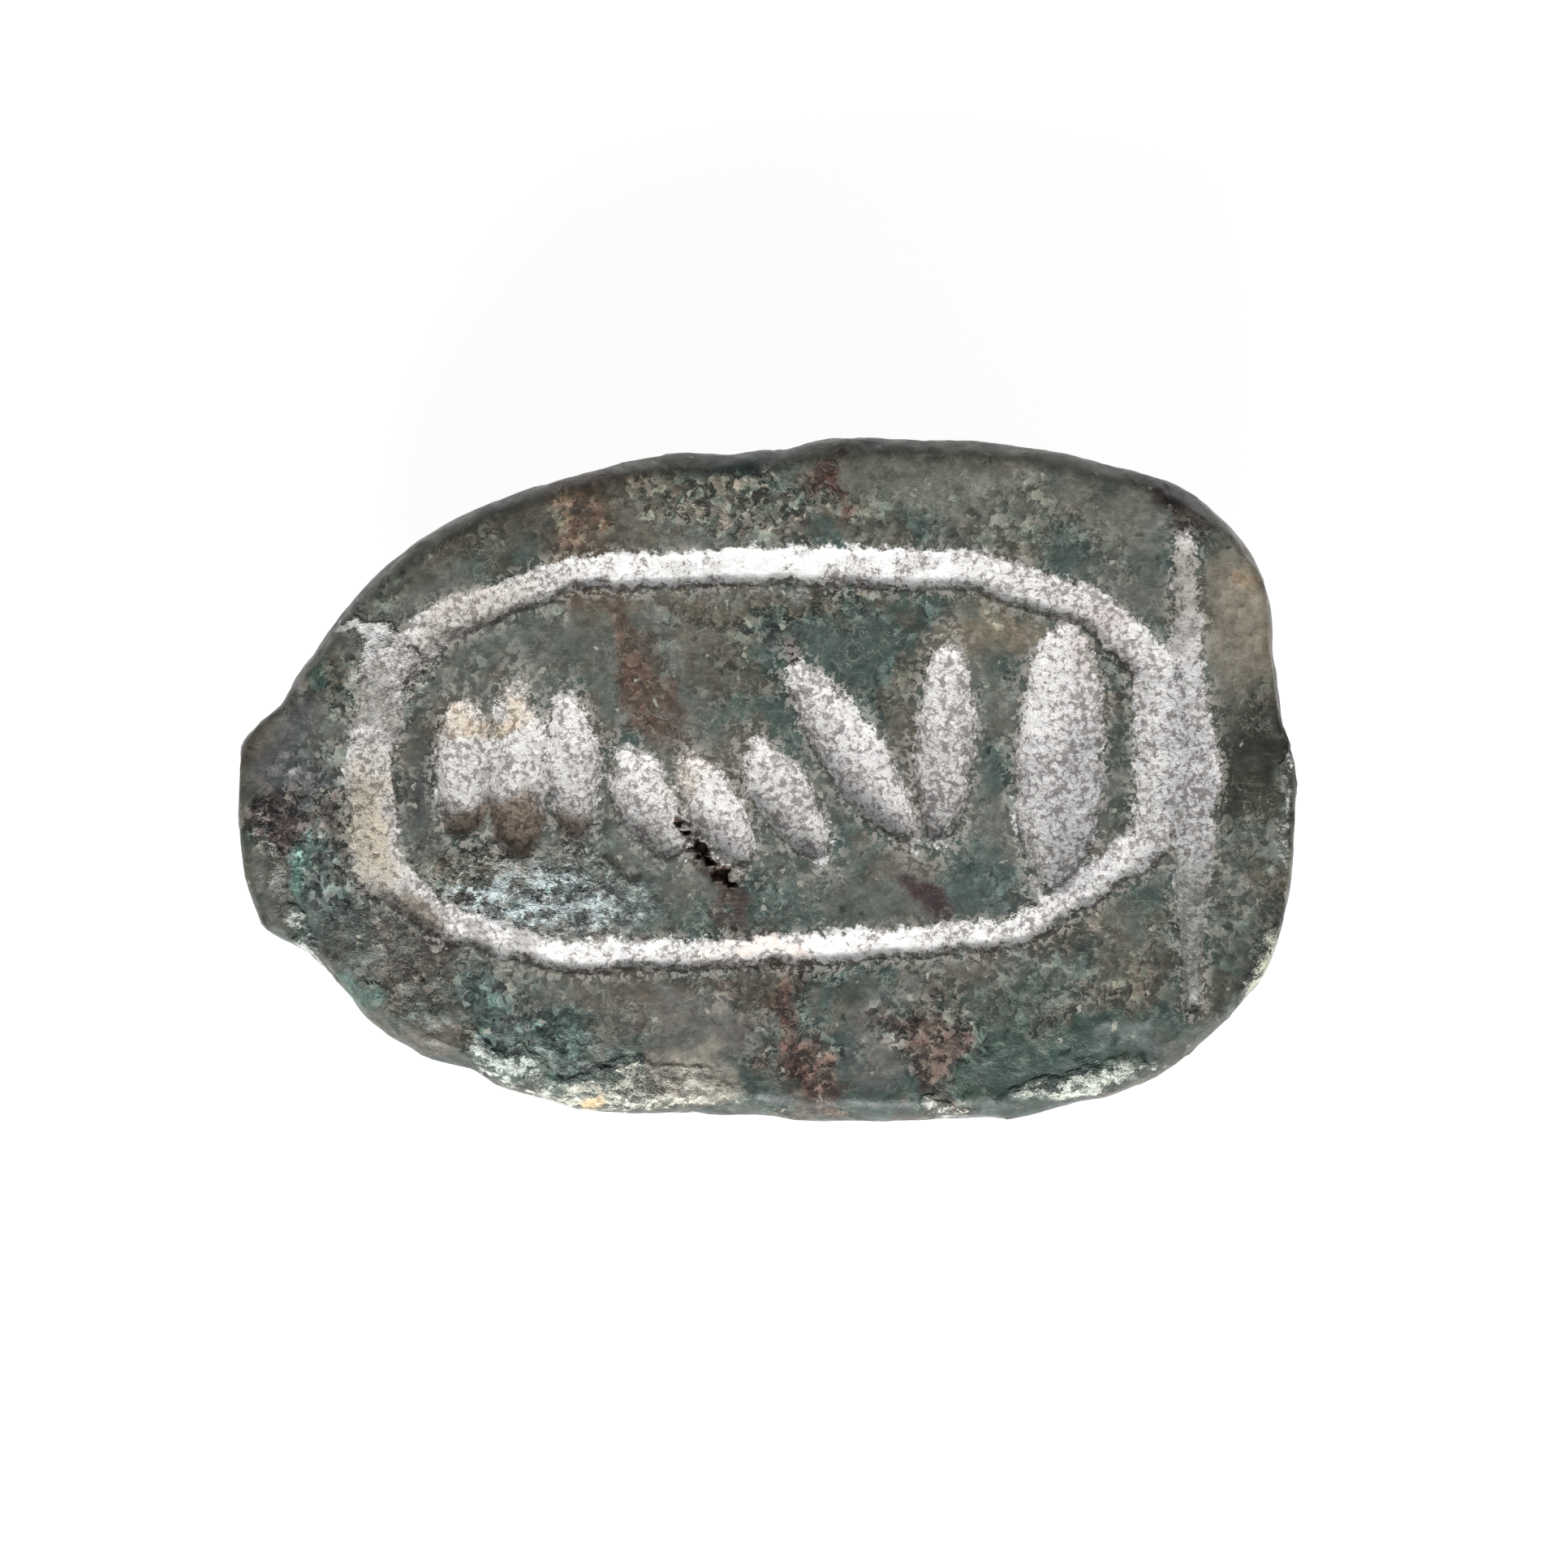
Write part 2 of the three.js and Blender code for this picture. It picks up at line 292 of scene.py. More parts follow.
# ---- The cuts in the beetle's back ----
# Scraped V-shaped lines: between the wings, behind the thorax and the clypeus, and two marks on
# the shoulders.
def back_line_depth(x, y):
    far = 9
    wings = abs(y) if x > -1.3 else far
    thorax = abs(x + 1.3 - 0.5 * (y / 5.3) ** 2)
    clypeus = abs(x + 7.3 - 0.6 * ((y + 0.45) / 1.95) ** 2) if -2.4 < y < 1.5 else far
    shoulder = along_line(x, abs(y), (-0.7, 3.1), (0.6, 3.9))[0].length
    return max(0, 0.25 - min(wings, thorax), 0.2 - min(clypeus, shoulder))


# ---- Wear ----
# Places where the polish is broken: conchoidal chips along the rim, a rough patch in the ring,
# and a dark pit where the soft vein has fallen out.
lump_height = 0.022
rim_lump_height = 0.05
rim_chip_height = 0.07
pit_depth = 0.24

# x, y, half-lengths, turn in degrees, and height of the broken facets
rough_places = [
    (-4.1, -2.0, 1.7, 0.75, -8, 0.16),
    (-6.5, -3.1, 2.0, 1.0, -50, 0.13),
    (-6.3, 1.9, 1.2, 1.0, 40, 0.15),
    (-3.2, -4.6, 2.4, 0.7, -14, 0.11),
    (-8.4, -1.3, 0.8, 1.2, 0, 0.1),
    (-0.6, 4.6, 1.6, 0.6, 4, 0.07),
    (4.6, -4.6, 2.4, 0.5, 12, 0.06),
]
most_rough = 0.16

# x, y and radius of the holes in the pit
pit_holes = [
    (-1.45, -0.74, 0.07),
    (-1.38, -0.92, 0.03),
    (-1.15, -1.16, 0.1),
    (-1.0, -1.4, 0.05),
    (-0.75, -1.6, 0.1),
    (-0.6, -1.78, 0.04),
]


def in_place(x, y, place):
    """1 in the middle of a place, falling to 0 at its edge."""
    px, py, half_length, half_width, turn = place[:5]
    c, s = math.cos(math.radians(turn)), math.sin(math.radians(turn))
    dx, dy = x - px, y - py
    off = math.hypot((dx * c + dy * s) / half_length, (dy * c - dx * s) / half_width)
    return smooth(1.5 - 1.5 * off)


def facets(x, y, size):
    """Height of broken facets: each cell of the break leans its own way."""
    spot = Vector((x / size, y / size, 0.5))
    middle = noise.voronoi(spot)[1][0]
    lean = noise.noise_vector(middle * 5.3)
    return size * (spot - middle).dot(lean) * 2


def pit_share(x, y):
    """1 in the ragged holes of the pit, and 0 round them."""
    nearest = max(1.15 - math.hypot(x - px, y - py) / radius for px, py, radius in pit_holes)
    return smooth(0.55 + nearest + 1.5 * noise.fractal(Vector((x * 6, y * 6, 9)), 0.8, 2.0, 4))


# ---- The mesh of the stone ----
# A finely divided block whose points are moved onto the form, as the carver's block was ground
# down to it. The base, which is cut in most detail, has the finest cells.
divisions = (149, 97, 17)
stone_mesh = bmesh.new()
bmesh.ops.create_cube(stone_mesh, size=2)
for axis, cuts in enumerate(divisions):
    across = [e for e in stone_mesh.edges if abs(e.verts[0].co[axis] - e.verts[1].co[axis]) > 1.99]
    bmesh.ops.subdivide_edges(stone_mesh, edges=across, cuts=cuts, use_grid_fill=True)
base_edges = [e for e in stone_mesh.edges if all(v.co.z > 0.999 for v in e.verts)]
bmesh.ops.subdivide_edges(stone_mesh, edges=base_edges, cuts=1, use_grid_fill=True)

base_layer = stone_mesh.verts.layers.float.new("base")
rim_layer = stone_mesh.verts.layers.float.new("rim")
side_layer = stone_mesh.verts.layers.float.new("side")
for point in stone_mesh.verts:
    u, v, w = point.co
    disc_x = u * math.sqrt(1 - v * v / 2)
    disc_y = v * math.sqrt(1 - u * u / 2)
    reach = math.hypot(disc_x, disc_y)
    angle = math.atan2(disc_y * left_half, disc_x * tail_length)
    share = (1 - w) / 2
    inset, z = side_at(share, angle)
    radius = (outline_radius(angle) - inset) * reach
    x, y = egg_middle + radius * math.cos(angle), radius * math.sin(angle)
    if w < -0.999:
        z = back_z(x, y)
    tail_bevel = height - (x - tail_bevel_x) * tail_bevel_slope
    head_bevel = height - (head_bevel_x - x) * head_bevel_slope
    point.co = (x, y, min(z, tail_bevel, head_bevel))
    point[base_layer] = 1 if w > 0.999 else 0
    # side: how far down the side, or how near the base's edge, a point lies; the material darkens it as
    # painted shade
    point[side_layer] = max(smooth(share / 0.25), smooth((reach - 0.93) / 0.07) * 0.4)
    point[rim_layer] = smooth(1 - abs(share - rim_end / 2) / 0.3) * smooth((reach - 0.9) / 0.08)


def stone_piece(name, mesh):
    """The bmesh as an object, with its faces turned outwards."""
    bmesh.ops.recalc_face_normals(mesh, faces=mesh.faces)
    data = bpy.data.meshes.new(name)
    mesh.to_mesh(data)
    mesh.free()
    piece = bpy.data.objects.new(name, data)
    scene.collection.objects.link(piece)
    return piece


carved_stone = stone_piece("carved_stone", stone_mesh)

# Legs and eyes stand out of the block. Each leg is a ribbed roll bent round the side, from its
# root on the ledge to its tip under the plate.
leg_root_z = ledge_z + 0.1
leg_tip_z = band_top - 0.25
eye_radius = 0.75
# root and tip in degrees from the tail, inset from the outline, and radius
legs = [(118, 156, 1.1, 0.85), (104, 82, 0.62, 0.6), (68, 38, 0.65, 0.62)]
limbs = bmesh.new()
for root, tip, inset, radius in legs:
    run = math.radians(abs(tip - root)) * outline_radius(math.radians((root + tip) / 2))
    for side in (-1, 1):
        roll = bmesh.ops.create_uvsphere(limbs, u_segments=20, v_segments=44, radius=1)["verts"]
        for point in roll:
            across, up, along = point.co
            share = 0.5 + along * (0.5 + radius / run)
            blunt = math.sqrt(max(0, 1 - along ** 4)) / max(0.001, math.hypot(across, up))
            ribs = 1 - 0.05 * smooth(math.sin(share * 42) - 0.2)
            thick = radius * lerp(1, 0.7, share) * blunt * ribs
            angle = math.radians(side * lerp(root, tip, share))
            reach = outline_radius(angle) - inset + thick * across
            z = lerp(leg_root_z, leg_tip_z, share) + thick * up
            point.co = (egg_middle + reach * math.cos(angle), reach * math.sin(angle), z)
for side in (-1, 1):
    eye = Matrix.Translation((-6.1, -0.45 + side * 2.15, 4.45))
    bmesh.ops.create_icosphere(limbs, subdivisions=4, radius=eye_radius, matrix=eye)

# The threading hole is bored from head to tail.
bore_radius = 0.7
bore_length = 24
lengthways = Matrix.Translation((0, -0.2, 5.6)) @ Matrix.Rotation(math.pi / 2, 4, "Y")
bore = bmesh.new()
bmesh.ops.create_cone(
    bore, segments=40, radius1=bore_radius, radius2=bore_radius, depth=bore_length,
    cap_ends=True, matrix=lengthways,
)

for name, cutter, operation in (("limbs", limbs, "UNION"), ("bore", bore, "DIFFERENCE")):
    tool = stone_piece(name, cutter)
    joint = carved_stone.modifiers.new(name, "BOOLEAN")
    joint.object = tool
    joint.operation = operation
    joint.solver = "EXACT"
    joint.use_self = name == "limbs"
    shown_now = carved_stone.evaluated_get(bpy.context.evaluated_depsgraph_get())
    joined = bpy.data.meshes.new_from_object(shown_now)
    carved_stone.modifiers.clear()
    carved_stone.data = joined
    bpy.data.objects.remove(tool)

# The wear and the lines of the back go along the surface's own direction, and the cuts and the
# pit go straight down into the base.
stone_mesh = bmesh.new()
stone_mesh.from_mesh(carved_stone.data)
base_layer = stone_mesh.verts.layers.float["base"]
rim_layer = stone_mesh.verts.layers.float["rim"]
side_layer = stone_mesh.verts.layers.float["side"]
cut_layer = stone_mesh.verts.layers.float.new("cut")
frost_layer = stone_mesh.verts.layers.float.new("frosted")
rough_layer = stone_mesh.verts.layers.float.new("rough")
pit_layer = stone_mesh.verts.layers.float.new("pit")
places = np.array([point.co for point in stone_mesh.verts])
for point in stone_mesh.verts:
    x, y, z = point.co
    point[side_layer] = max(point[side_layer], smooth((height - plate_thickness + 0.4 - z) / 0.4))
    rough = max(in_place(x, y, place) * place[5] for place in rough_places) * smooth((z - 5) / 1.5)
    rough *= 1 - 0.75 * point[side_layer]
    lumps = noise.fractal(Vector((x, y, z)) * 1.1, 1.0, 2.0, 4)
    lumps *= lump_height + rim_lump_height * point[rim_layer]
    chips = facets(x + z, y - z, 0.8) * rim_chip_height * point[rim_layer]
    broken = rough * (facets(x, y, 0.42) + 0.6 * facets(y, x, 0.2))
    lines = back_line_depth(x, y) if z < ledge_z - 0.05 else 0
    point[rough_layer] = rough / most_rough
    point.co += point.normal * (lumps + chips + broken - lines)
    if point[base_layer] > 0.5 and z > height - 1:
        depth, inside, frosted = cut_at(x, y)
        point[cut_layer] = min(1, max(0, 0.5 + inside / edge_width))
        point[frost_layer] = min(1, max(0, 0.5 + frosted / edge_width))
        point[pit_layer] = pit_share(x, y)
        point.co.z -= max(depth, pit_depth * point[pit_layer])
    point.co.z = max(0, point.co.z)

# The middle of the outline lies over the origin, as the solid's does.
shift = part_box("scarab")[0].x / MM - min(point.co.x for point in stone_mesh.verts)
bmesh.ops.translate(stone_mesh, vec=(shift, 0, 0), verts=stone_mesh.verts)
bmesh.ops.scale(stone_mesh, vec=(MM, MM, MM), verts=stone_mesh.verts)
for face in stone_mesh.faces:
    face.smooth = True
sharp = math.radians(50)
for edge in stone_mesh.edges:
    edge.smooth = edge.calc_face_angle(0) < sharp
stone_data = carved_stone.data
stone_mesh.to_mesh(stone_data)
stone_mesh.free()
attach(carved_stone, "root")
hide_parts("scarab")

# ---- The stone itself ----
# Green jasper: grey-green with cloudy teal patches, brown and red veins and ochre stains. It has
# a dull waxy polish full of fine scratches, and it is frosted white where the wheel bruised it.
# Colours and wear that belong to a place, with some painted shade and painted highlights, are kept
# on the mesh, and the material adds the grain.
def cloud(scale, seed):
    """Cloudy noise at every point, about -1 to 1, with its scale in repeats per millimetre."""
    spots = [Vector(at) * scale + Vector((0, 0, seed)) for at in places]
    return np.array([noise.fractal(spot, 0.7, 2.0, 4) for spot in spots])


def smooth_step(value, low, high):
    """A soft step from 0 at low to 1 at high, for all points together."""
    share = np.clip((value - low) / (high - low), 0, 1)
    return share * share * (3 - 2 * share)


# Stains and veins run down through the stone with frayed edges.
frays = np.array([
    noise.noise_vector(Vector(at) * 1.1) * 0.8 + noise.noise_vector(Vector(at) * 2.6) * 0.4
    + noise.noise_vector(Vector(at) * 6) * 0.22 + noise.noise_vector(Vector(at) * 13) * 0.13
    for at in places
])
plate_z = 5.5
stain_depth = 7


def within(x, y, half_length, half_width, turn, strength=1.0, raggedness=1.0):
    """How far each point lies inside a frayed oval on the plate."""
    c, s = math.cos(math.radians(turn)), math.sin(math.radians(turn))
    dx, dy, dz = (places + raggedness * frays - (x, y, plate_z)).T
    along, across = (dx * c + dy * s) / half_length, (dy * c - dx * s) / half_width
    off = np.sqrt(along ** 2 + across ** 2 + (dz / stain_depth) ** 2)
    return strength * smooth_step(off, 1.35, 0.55)


def laid_over(under, share, colour):
    """Colours of all points, with a share of another colour over them."""
    return under + share[:, None] * (np.array(colour) - under)


grey_green = (0.121, 0.128, 0.109)
teal = (0.052, 0.081, 0.071)
olive = (0.105, 0.092, 0.066)
tint = np.tile(grey_green, (len(places), 1))
tint = laid_over(tint, smooth_step(cloud(0.3, 1), -0.2, 0.2), teal)
tint = laid_over(tint, 0.7 * smooth_step(cloud(0.55, 5), 0.1, 0.4), olive)

# Stains of the stone, with painted shade and painted highlights among them: x, y, half-lengths,
# turn in degrees, strength and colour, and for some their raggedness
stains_shades_and_lights = [
    # Painted shade with dirt: dark olive along the rounded rim at the upper left, on the side away from the
    # lamp.
    (-3.6, 4.7, 3.0, 0.8, 22, 0.75, (0.08, 0.068, 0.046)),
    (3.6, 4.9, 2.8, 0.9, -8, 0.8, (0.15, 0.148, 0.118)),
    (0.9, 2.6, 1.5, 0.7, 0, 0.8, (0.05, 0.07, 0.06)),
    (-4.2, 2.4, 1.0, 0.7, 20, 0.7, (0.13, 0.14, 0.12)),
    (3.9, 2.55, 0.95, 0.6, -8, 0.95, (0.215, 0.182, 0.128), 0.6),
    (5.95, 0.4, 0.3, 1.4, 0, 0.8, (0.05, 0.072, 0.06)),
    # Partly painted light: pale tan at the tail end, the stone's own tan brightened as a painted glow of
    # light through it.
    (8.2, 2.9, 0.85, 1.7, 0, 0.95, (0.285, 0.25, 0.195), 0.6),
    (8.4, 3.5, 0.35, 0.5, 0, 0.5, (0.36, 0.25, 0.14)),
    (8.2, 0.2, 0.95, 1.35, 0, 0.95, (0.031, 0.035, 0.023), 0.6),
    (8.1, -2.8, 0.8, 1.2, 0, 0.8, (0.096, 0.102, 0.085)),
    # Painted shade: near black in the corner where the tail bevel meets the rim.
    (6.9, 4.7, 0.75, 0.5, -40, 0.95, (0.032, 0.02, 0.017), 0.5),
    (6.65, -4.05, 0.28, 0.16, 10, 0.9, (0.02, 0.022, 0.018)),
    (-8.2, 0.6, 0.8, 1.0, 0, 0.85, (0.1, 0.1, 0.108)),
    (-7.9, -0.7, 0.7, 0.45, 0, 0.85, (0.055, 0.03, 0.034)),
    (-7.4, -2.2, 1.2, 0.9, -50, 0.7, (0.075, 0.11, 0.104)),
    (-5.6, -3.6, 2.0, 0.6, -35, 0.7, (0.09, 0.072, 0.058)),
    (-4.0, -4.3, 1.8, 0.7, -18, 0.85, (0.055, 0.098, 0.09)),
    (-1.1, -4.2, 1.3, 0.9, 0, 0.85, (0.15, 0.138, 0.122)),
    (3.6, -1.9, 0.9, 0.7, 0, 0.8, (0.062, 0.098, 0.09)),
    (1.6, -2.2, 1.4, 0.5, 0, 0.7, (0.09, 0.1, 0.088)),
    (4.6, -4.2, 2.0, 0.9, 5, 0.75, (0.056, 0.08, 0.066)),
    (4.9, -4.7, 2.2, 0.7, 10, 0.85, (0.04, 0.074, 0.058)),
    (6.0, -2.9, 1.0, 0.9, 20, 0.75, (0.125, 0.112, 0.085)),
    (6.0, -3.7, 1.2, 0.4, 10, 0.6, (0.07, 0.055, 0.04)),
    (-3.2, 4.4, 0.45, 1.1, -25, 0.75, (0.125, 0.076, 0.046), 0.8),
    (-2.8, 2.9, 0.55, 0.9, 20, 0.8, (0.115, 0.072, 0.046)),
    (-2.1, 1.6, 0.5, 1.4, 22, 0.9, (0.092, 0.052, 0.034), 0.6),
    (-0.35, -2.5, 0.4, 0.7, 30, 0.85, (0.06, 0.033, 0.026)),
    (-0.9, -1.45, 0.8, 0.24, -53, 0.95, (0.036, 0.019, 0.014), 0.3),
    (-0.45, -2.15, 0.5, 0.2, -60, 0.9, (0.055, 0.03, 0.024), 0.4),
    (0.4, 2.15, 0.12, 0.24, 0, 0.9, (0.05, 0.03, 0.032), 0.2),
    (0.8, 2.9, 0.2, 0.15, 0, 0.9, (0.02, 0.045, 0.038), 0.3),
    (0.35, -3.9, 0.34, 1.2, 14, 1.0, (0.062, 0.029, 0.021), 0.6),
    (0.8, -5.0, 0.6, 0.7, 0, 0.9, (0.1, 0.05, 0.037), 0.7),
    (2.7, -1.9, 0.22, 0.7, 45, 1.0, (0.045, 0.025, 0.028), 0.45),
    (2.8, -4.6, 0.5, 1.0, 6, 0.85, (0.09, 0.054, 0.043), 0.7),
    (1.9, -4.4, 0.45, 0.9, 0, 0.8, (0.15, 0.137, 0.126), 0.6),
    (1.05, 4.8, 0.3, 0.7, 10, 0.95, (0.065, 0.028, 0.02), 0.6),
    (-0.3, 5.3, 0.8, 0.25, 0, 0.85, (0.03, 0.06, 0.047)),
    (-0.8, 4.6, 1.1, 0.5, 0, 0.85, (0.17, 0.157, 0.12), 0.7),
    (0.2, 4.4, 1.2, 0.45, 0, 0.8, (0.148, 0.14, 0.112), 0.7),
    (-5.9, 0.2, 0.6, 1.4, 0, 0.8, (0.045, 0.05, 0.05)),
    (-1.3, -5.1, 0.8, 0.35, 0, 0.85, (0.3, 0.27, 0.22)),
    (-3.8, -2.2, 1.5, 0.6, -8, 0.75, (0.15, 0.18, 0.175)),
    # Brown stain and painted shade: these two strips lie just under the ring's top and bottom lines, below
    # their steep walls.
    (-0.4, 3.1, 3.6, 0.25, 0, 0.6, (0.115, 0.092, 0.062)),
    (-0.5, -3.42, 2.6, 0.22, 0, 0.6, (0.095, 0.07, 0.05)),
    # Painted highlights with the stone's teal: these two pale patches on the left and lower-left rim.
    (-8.1, -1.65, 0.3, 0.5, 10, 0.85, (0.1, 0.2, 0.17)),
    (-6.9, -3.85, 0.5, 0.35, -45, 0.85, (0.08, 0.16, 0.135)),
    (-7.5, 1.65, 0.45, 0.4, 30, 0.8, (0.045, 0.095, 0.078)),
    # Painted highlights: a pale line along the tail's edge, and pale patches along the bottom and lower
    # rims that face the lamp.
    (8.8, -1.2, 0.12, 1.5, 0, 0.8, (0.27, 0.3, 0.27)),
    (-3.4, -5.1, 1.2, 0.4, -12, 0.5, (0.2, 0.26, 0.22)),
    (-7.9, -3.0, 0.6, 0.3, -55, 0.8, (0.14, 0.2, 0.17)),
    (6.4, -4.6, 0.6, 0.3, 30, 0.8, (0.17, 0.2, 0.19)),
    (3.9, -5.5, 0.9, 0.25, 8, 0.8, (0.13, 0.17, 0.165)),
]
for x, y, half_length, half_width, turn, strength, colour, *raggedness in stains_shades_and_lights:
    share = within(x, y, half_length, half_width, turn, strength, *raggedness)
    tint = laid_over(tint, share, colour)

# Where the crystals show: x, y, half-lengths, turn in degrees, and strength, as in the lists below
coarse = 0.13 + 0.45 * smooth_step(cloud(0.8, 9), 0.0, 0.5)
coarse_places = [
    (-0.2, 4.6, 2.4, 0.7, 0, 1.0),
    (-3.3, 4.3, 0.7, 0.9, -20, 0.8),
    (-2.3, 1.8, 0.7, 1.8, 20, 0.45),
    (3.4, 4.0, 2.0, 0.4, -12, 0.5),
    (0.5, 2.8, 2.4, 0.4, 0, 0.9),
    (-4.3, -2.0, 2.0, 1.0, -10, 1.0),
    (-7.4, -1.0, 1.5, 1.7, 0, 1.0),
    (-6.4, 2.0, 1.5, 0.9, 30, 1.0),
    (-4.9, -3.8, 2.6, 1.0, -22, 0.8),
    (-1.0, -2.5, 1.2, 0.5, 0, 0.7),
    (0.6, -4.3, 0.9, 1.6, 5, 1.0),
    (2.9, -4.4, 0.9, 1.4, 0, 1.0),
    (5.4, -3.4, 1.6, 0.8, 0, 0.7),
    (8.0, -2.0, 0.8, 1.5, 0, 0.6),
]
for oval in coarse_places:
    coarse = np.maximum(coarse, within(*oval))

# Chipped places, with how much of each is covered with pale flakes, and the flakes' colour.
# On the rims that face the lamp and in the rough patch the pale flakes are partly painted glints.
# The flakes stop a little way down the side.
flakes_and_glints = np.zeros(len(places))
flake_and_glint_tint = np.tile((0.7, 0.69, 0.56), (len(places), 1))
chips_and_glints = [
    (-2.6, -5.3, 2.3, 0.42, 0, 0.62, (0.72, 0.72, 0.6)),
    (-4.4, -4.9, 0.9, 0.3, -25, 0.65, (0.7, 0.76, 0.68)),
    (-7.75, -2.9, 1.0, 0.2, -50, 0.75, (0.66, 0.68, 0.64)),
    (8.3, -3.5, 0.3, 1.0, -25, 0.8, (0.72, 0.72, 0.56)),
    (5.2, -5.15, 1.3, 0.25, 12, 0.7, (0.66, 0.7, 0.6)),
    (8.85, -0.3, 0.12, 1.4, 0, 0.5, (0.6, 0.64, 0.6)),
    (3.0, -5.55, 0.5, 0.15, 0, 0.6, (0.66, 0.68, 0.6)),
    (-2.95, -5.5, 0.25, 0.14, 0, 0.9, (0.75, 0.55, 0.3)),
    (-3.95, -2.0, 1.9, 0.85, -5, 0.62, (0.66, 0.76, 0.76)),
    (-6.62, 2.27, 0.5, 0.26, -12, 1.2, (1.0, 1.0, 1.0)),
    (-7.1, 2.5, 0.45, 0.13, -25, 0.9, (0.7, 0.72, 0.68)),
    (-8.45, -1.2, 0.2, 1.0, 0, 0.4, (0.5, 0.5, 0.46)),
]
for *oval, share, colour in chips_and_glints:
    here = within(*oval, 1.0, 0.35)
    flakes_and_glints = np.maximum(flakes_and_glints, here * share)
    flake_and_glint_tint = laid_over(flake_and_glint_tint, here, colour)
flakes_and_glints *= smooth_step(places[:, 2], 6.3, 6.95)

# Where the frost has worn off
worn = np.zeros(len(places))
worn_places = [
    (7.2, -2.9, 0.5, 1.5, 0, 0.7),
    (7.0, 3.2, 0.4, 1.2, 0, 0.12),
    (-6.6, 1.4, 0.6, 1.0, 20, 0.55),
    (-6.2, -2.2, 0.7, 0.5, -40, 0.65),
    (-4.6, -2.9, 0.6, 0.4, 0, 0.6),
]
for oval in worn_places:
    worn = np.maximum(worn, within(*oval))

# Where the frost is whiter
whiter = 0.09 + 0.14 * cloud(0.8, 3)
white_places = [
    (0.6, 3.6, 3.6, 0.4, 0, 0.48),
    (1.6, -2.85, 4.0, 0.3, 3, 0.29),
    (-3.5, -3.0, 1.2, 0.25, -8, 0.22),
    (5.6, -1.75, 1.0, 0.3, 36, 0.16),
    (4.5, 1.6, 0.3, 1.2, 0, 0.12),
    (-6.75, -0.9, 0.5, 1.2, 0, 0.16),
    (-4.2, 0.7, 1.4, 0.9, 0, 0.04),
    (7.05, 3.2, 0.4, 1.3, 0, 0.2),
    (7.15, -2.8, 0.4, 1.4, 0, 0.16),
]
for oval in white_places:
    whiter += within(*oval)

# Stains on the frost, and a painted shadow at the foot of the upright strokes, in the same columns
# as the list for the stone
frost_tint = np.ones((len(places), 3))
tints = [
    (-6.75, -0.9, 0.5, 1.2, 0, 0.9, (0.74, 0.67, 0.53), 0.6),
    (7.05, 3.2, 0.4, 1.3, 0, 0.9, (0.56, 0.54, 0.5), 0.5),
    (7.15, -3.0, 0.5, 1.8, 0, 0.95, (0.44, 0.48, 0.47), 0.5),
    (-6.0, -2.25, 0.5, 0.3, -35, 0.8, (0.55, 0.43, 0.31), 0.5),
    (-6.6, 1.4, 0.6, 1.0, 20, 0.6, (0.74, 0.72, 0.68)),
    (-5.1, 2.8, 1.5, 0.45, 24, 0.75, (0.72, 0.68, 0.61), 0.5),
    (-4.6, 1.05, 0.8, 0.4, 0, 0.75, (0.88, 0.72, 0.52), 0.6),
    # Painted shadow: brown over the frost at the -Y foot of the three upright strokes.
    (-4.25, -0.9, 1.7, 0.5, 0, 0.95, (0.36, 0.28, 0.21), 0.5),
    (-0.3, -2.85, 0.7, 0.35, 0, 0.6, (0.98, 0.8, 0.68)),
    (-1.4, 0.2, 0.5, 0.6, 0, 0.5, (0.92, 0.76, 0.6)),
    (5.6, 2.5, 0.7, 0.5, -35, 0.5, (0.75, 0.66, 0.64)),
    (7.15, -0.5, 0.6, 3.5, 0, 0.65, (0.72, 0.72, 0.74)),
    (5.2, -0.4, 0.6, 1.6, 0, 0.6, (0.68, 0.68, 0.72)),
    (1.6, -0.2, 1.6, 1.0, 0, 0.3, (0.75, 0.74, 0.76)),
]
for x, y, half_length, half_width, turn, strength, colour, *raggedness in tints:
    share = within(x, y, half_length, half_width, turn, strength, *raggedness)
    frost_tint = laid_over(frost_tint, share, colour)

for name, values in (("coarse", coarse), ("flakes_and_glints", flakes_and_glints), ("worn", worn), ("whiter", whiter)):
    kept = stone_data.attributes.new(name, "FLOAT", "POINT")
    kept.data.foreach_set("value", values.astype(np.float32))
for name, colours in (("tint", tint), ("frost_tint", frost_tint), ("flake_and_glint_tint", flake_and_glint_tint)):
    kept = stone_data.attributes.new(name, "FLOAT_COLOR", "POINT")
    kept.data.foreach_set("color", np.column_stack((colours, np.ones(len(places)))).ravel())

green_stone = bpy.data.materials.new("green_stone")
green_stone.use_nodes = True
tree = green_stone.node_tree
polish = tree.nodes["Principled BSDF"]


def add(kind, inputs=None, **settings):
    """A node with its settings, and its inputs given as values or as sockets to link."""
    made = tree.nodes.new("ShaderNode" + kind)
    for name, value in settings.items():
        setattr(made, name, value)
    for name, value in (inputs or {}).items():
        if isinstance(value, bpy.types.NodeSocket):
            tree.links.new(value, made.inputs[name])
        else:
            made.inputs[name].default_value = value
    return made


def mottle(scale, detail=3.0, roughness=0.55, vector=None, distortion=0.0):
    """Cloudy noise, with its scale in repeats per millimetre."""
    inputs = {"Vector": vector or in_mm, "Scale": scale, "Detail": detail}
    return add("TexNoise", inputs | {"Roughness": roughness, "Distortion": distortion}).outputs["Fac"]


def spread(value, low, high, to_low=0.0, to_high=1.0):
    """A value stretched from one range to another, and held there."""
    inputs = {"Value": value, "From Min": low, "From Max": high, "To Min": to_low, "To Max": to_high}
    return add("MapRange", inputs, interpolation_type="SMOOTHSTEP").outputs["Result"]


def times(a, b):
    return add("Math", {0: a, 1: b}, operation="MULTIPLY").outputs[0]


